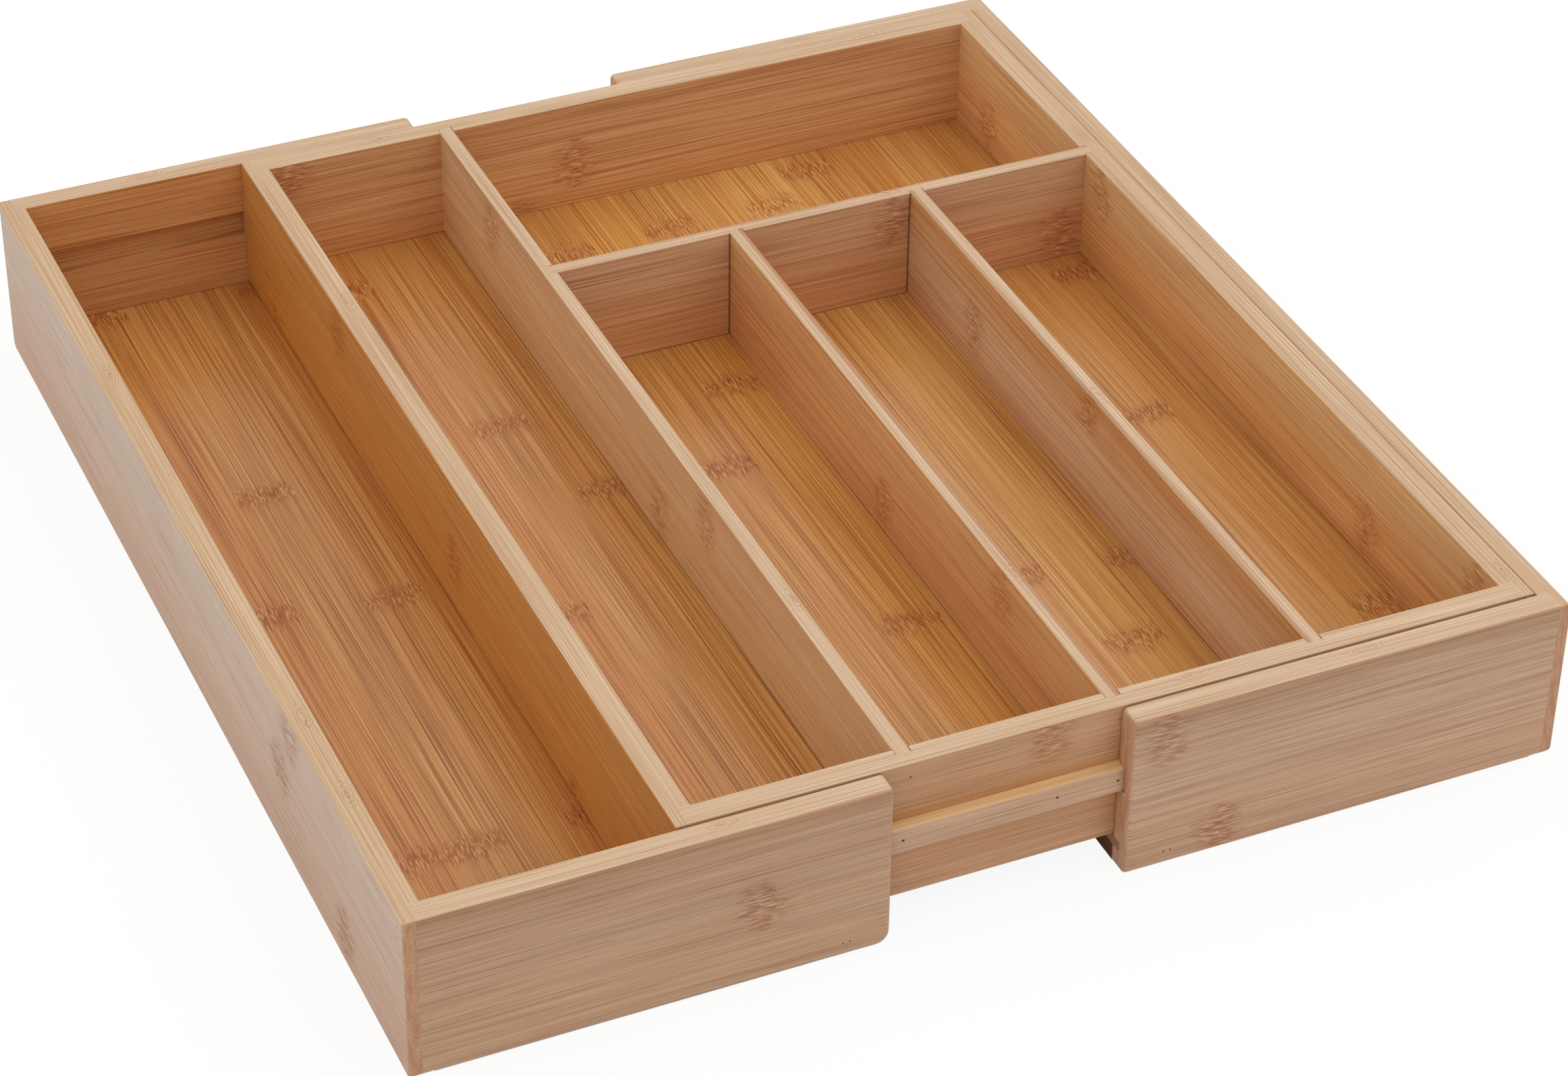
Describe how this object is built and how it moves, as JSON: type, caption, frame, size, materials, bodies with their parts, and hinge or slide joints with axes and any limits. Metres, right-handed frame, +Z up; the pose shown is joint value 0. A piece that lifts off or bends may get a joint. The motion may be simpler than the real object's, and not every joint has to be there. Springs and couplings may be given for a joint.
{
  "type": "cutlery tray",
  "caption": "Expanding cutlery tray in laminated bamboo: a divided tray on grooved sliding side wings that pull out to open a compartment at each side.",
  "frame": {"origin": "on the table, under the middle of the bounding box of the tray at rest, with its left wing pulled out and its right wing pushed in", "axes": "+X to the right along the front, +Y to the back along the compartments, +Z up"},
  "size_m": [0.414, 0.45, 0.0645],
  "materials": {
    "wing_bamboo": "clear lacquered bamboo laminate, satin, grain along each board",
    "tray_bamboo": "clear lacquered bamboo laminate, satin, grain along each board",
    "divider_bamboo": "clear lacquered thin bamboo board, satin",
    "base_bamboo": "clear lacquered bamboo strip panel, satin, grain front to back",
    "rail_bamboo": "planed bamboo strip, dull satin",
    "nail_steel": "dull wire, sunk below the surface"
  },
  "bodies": {
    "tray": {"tray_left_wall": "tray_bamboo", "tray_right_wall": "tray_bamboo", "tray_front_wall": "tray_bamboo", "tray_back_wall": "tray_bamboo", "tray_base": "base_bamboo", "long_divider": "divider_bamboo", "cross_divider": "divider_bamboo", "short_divider_left": "divider_bamboo", "short_divider_right": "divider_bamboo", "front_rail": "rail_bamboo", "back_rail": "rail_bamboo", "front_rail_brads": "nail_steel", "back_rail_brads": "nail_steel", "divider_brads": "nail_steel", "tray_corner_pins": "nail_steel"},
    "left_wing": {"left_wing_side_wall": "wing_bamboo", "left_wing_front_arm": "wing_bamboo", "left_wing_back_arm": "wing_bamboo", "left_wing_base": "base_bamboo", "left_wing_batten": "rail_bamboo", "left_wing_corner_pins": "nail_steel", "left_wing_batten_brads": "nail_steel"},
    "right_wing": {"right_wing_side_wall": "wing_bamboo", "right_wing_front_arm": "wing_bamboo", "right_wing_back_arm": "wing_bamboo", "right_wing_base": "base_bamboo", "right_wing_batten": "rail_bamboo", "right_wing_corner_pins": "nail_steel", "right_wing_batten_brads": "nail_steel"}
  },
  "joints": [
    {"name": "left_wing_slide", "type": "slide", "parent": "tray", "child": "left_wing", "axis": [-1, 0, 0], "range_m": [-0.0842, 0]},
    {"name": "right_wing_slide", "type": "slide", "parent": "tray", "child": "right_wing", "axis": [1, 0, 0], "range_m": [0, 0.0842]}
  ]
}
